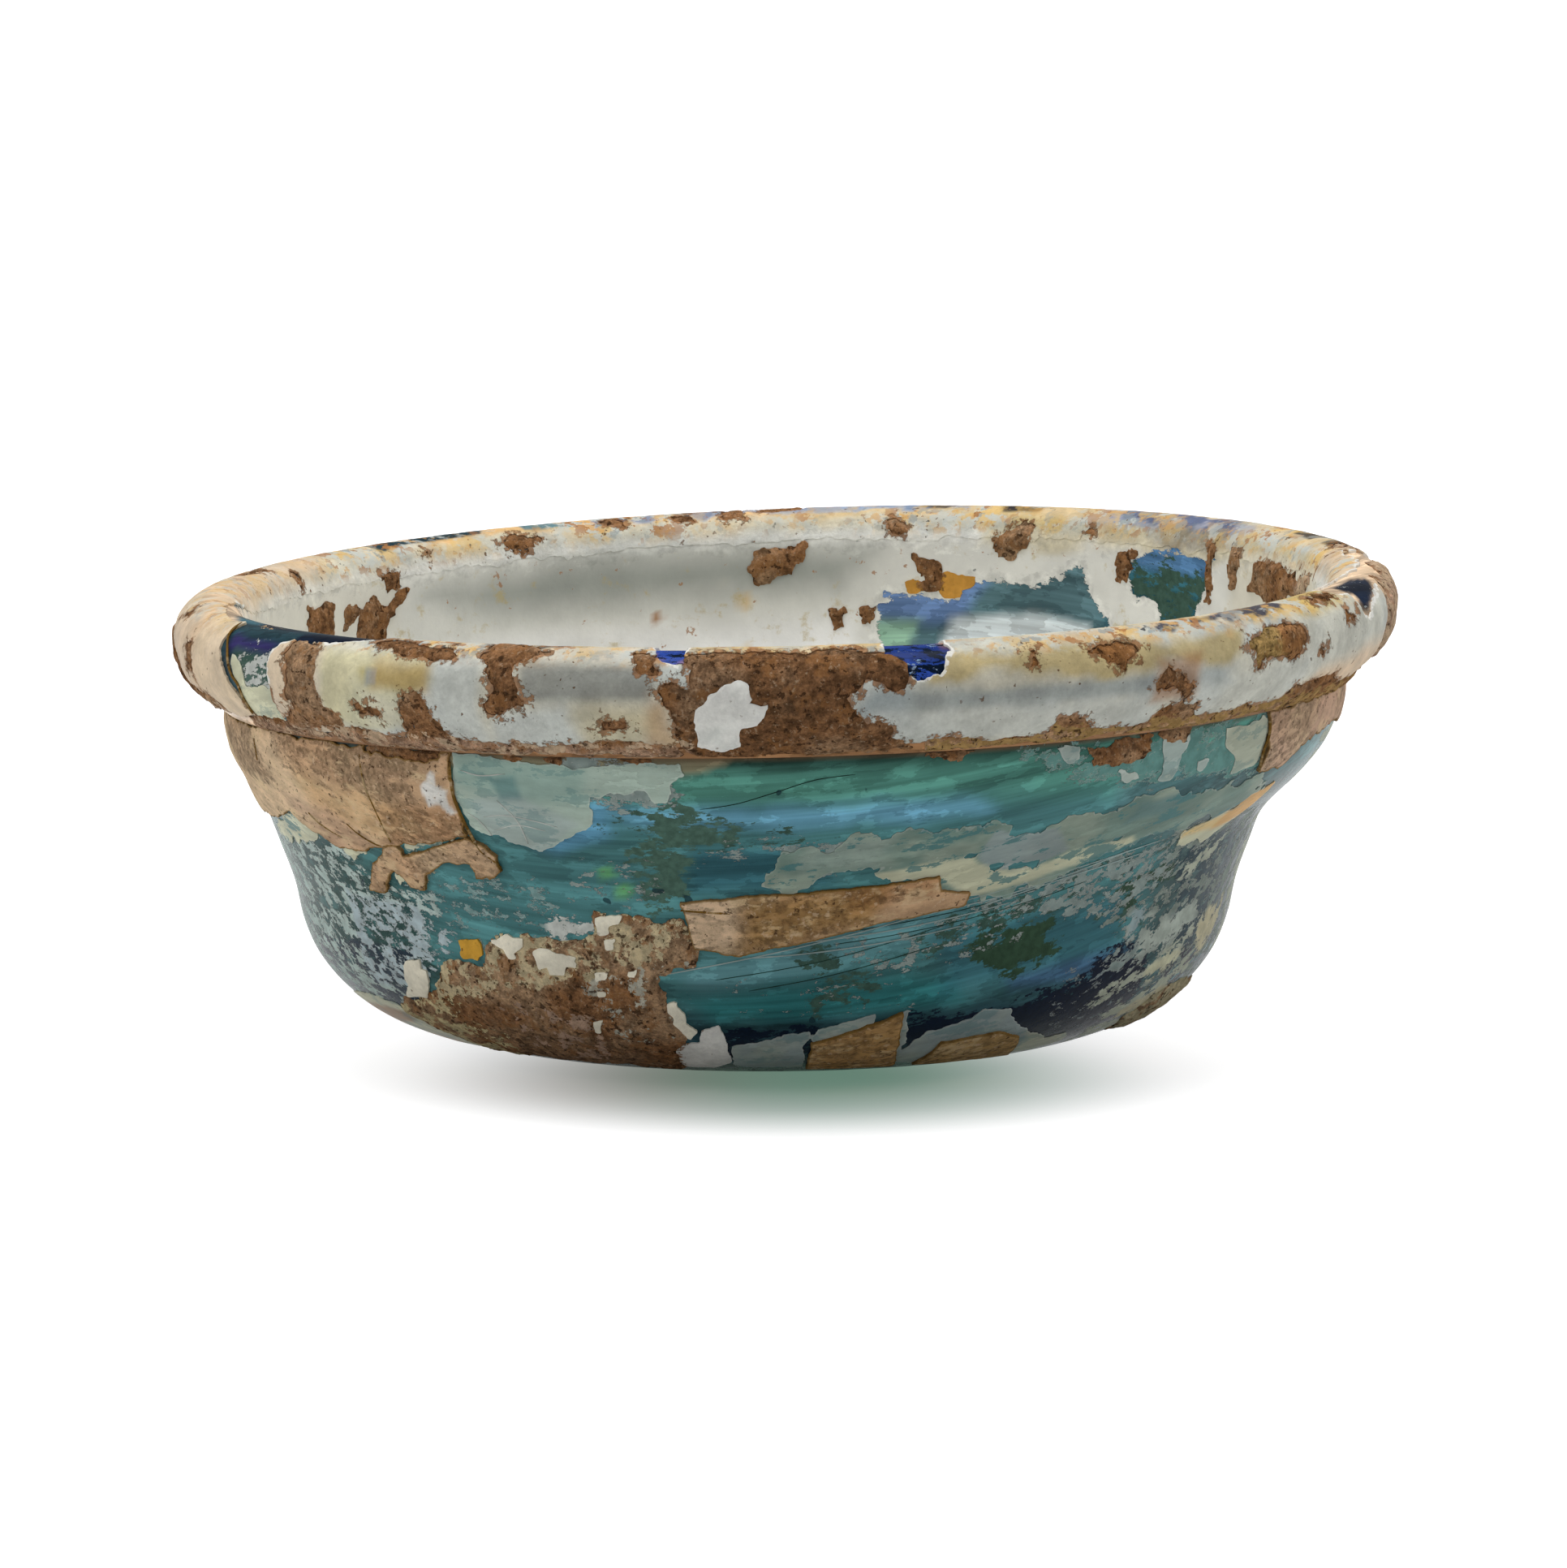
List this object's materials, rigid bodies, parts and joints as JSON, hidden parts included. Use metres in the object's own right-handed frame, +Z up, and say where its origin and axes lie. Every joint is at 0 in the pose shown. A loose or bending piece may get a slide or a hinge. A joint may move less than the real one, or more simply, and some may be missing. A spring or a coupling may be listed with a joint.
{
  "type": "cosmetic dish",
  "caption": "Small shallow glass dish with a rolled rim and a folded collar, covered in weathering sheets and soil crusts.",
  "frame": {"origin": "on the standing surface, under the middle of the rim", "axes": "+Z up, the pictured side faces -Y, the rim rises towards +X"},
  "size_m": [0.0804, 0.0803, 0.0314],
  "materials": {
    "glass": "blue-green glass with an iridescent weathered skin",
    "patina": "cream and grey enamel-like weathering",
    "soil": "brown gritty soil crust",
    "crust": "peach weathering sheet with a matt face",
    "film": "thin grey-green weathering film"
  },
  "bodies": {
    "root": {"crust_flake_left": "crust", "crust_flake_right": "crust", "crust_sheet_back": "crust", "crust_sheet_left": "crust", "film_base_left": "film", "film_block_right": "film", "film_layer_right": "film", "film_rim_left": "film", "film_sheet_left": "film", "film_skirt_left": "film", "film_strip_right": "film", "film_veil_centre": "film", "film_veil_right": "film", "glass_vessel": "glass", "patina_rim_back_left": "patina", "patina_rim_back_right": "patina", "patina_rim_front_left": "patina", "patina_rim_front_right": "patina", "patina_rim_front_top": "patina", "soil_base_centre": "soil", "soil_base_right": "soil", "soil_flake_middle": "soil", "soil_inner_back": "soil", "soil_inner_far_left": "soil", "soil_inner_floor": "soil", "soil_inner_left": "soil", "soil_inner_right": "soil", "soil_lip_back": "soil", "soil_lip_back_left": "soil", "soil_lip_far_right": "soil", "soil_lip_left": "soil", "soil_lip_right": "soil", "soil_rim_back_left": "soil", "soil_rim_back_right": "soil", "soil_rim_centre": "soil", "soil_rim_far_left": "soil", "soil_rim_far_right": "soil", "soil_rim_left": "soil", "soil_rim_middle_left": "soil", "soil_rim_right": "soil", "soil_seam_right": "soil", "soil_wall_back": "soil", "soil_wall_far_left": "soil", "soil_wall_lower_left": "soil", "soil_wall_right": "soil", "white_flake_lower": "patina"}
  },
  "joints": []
}
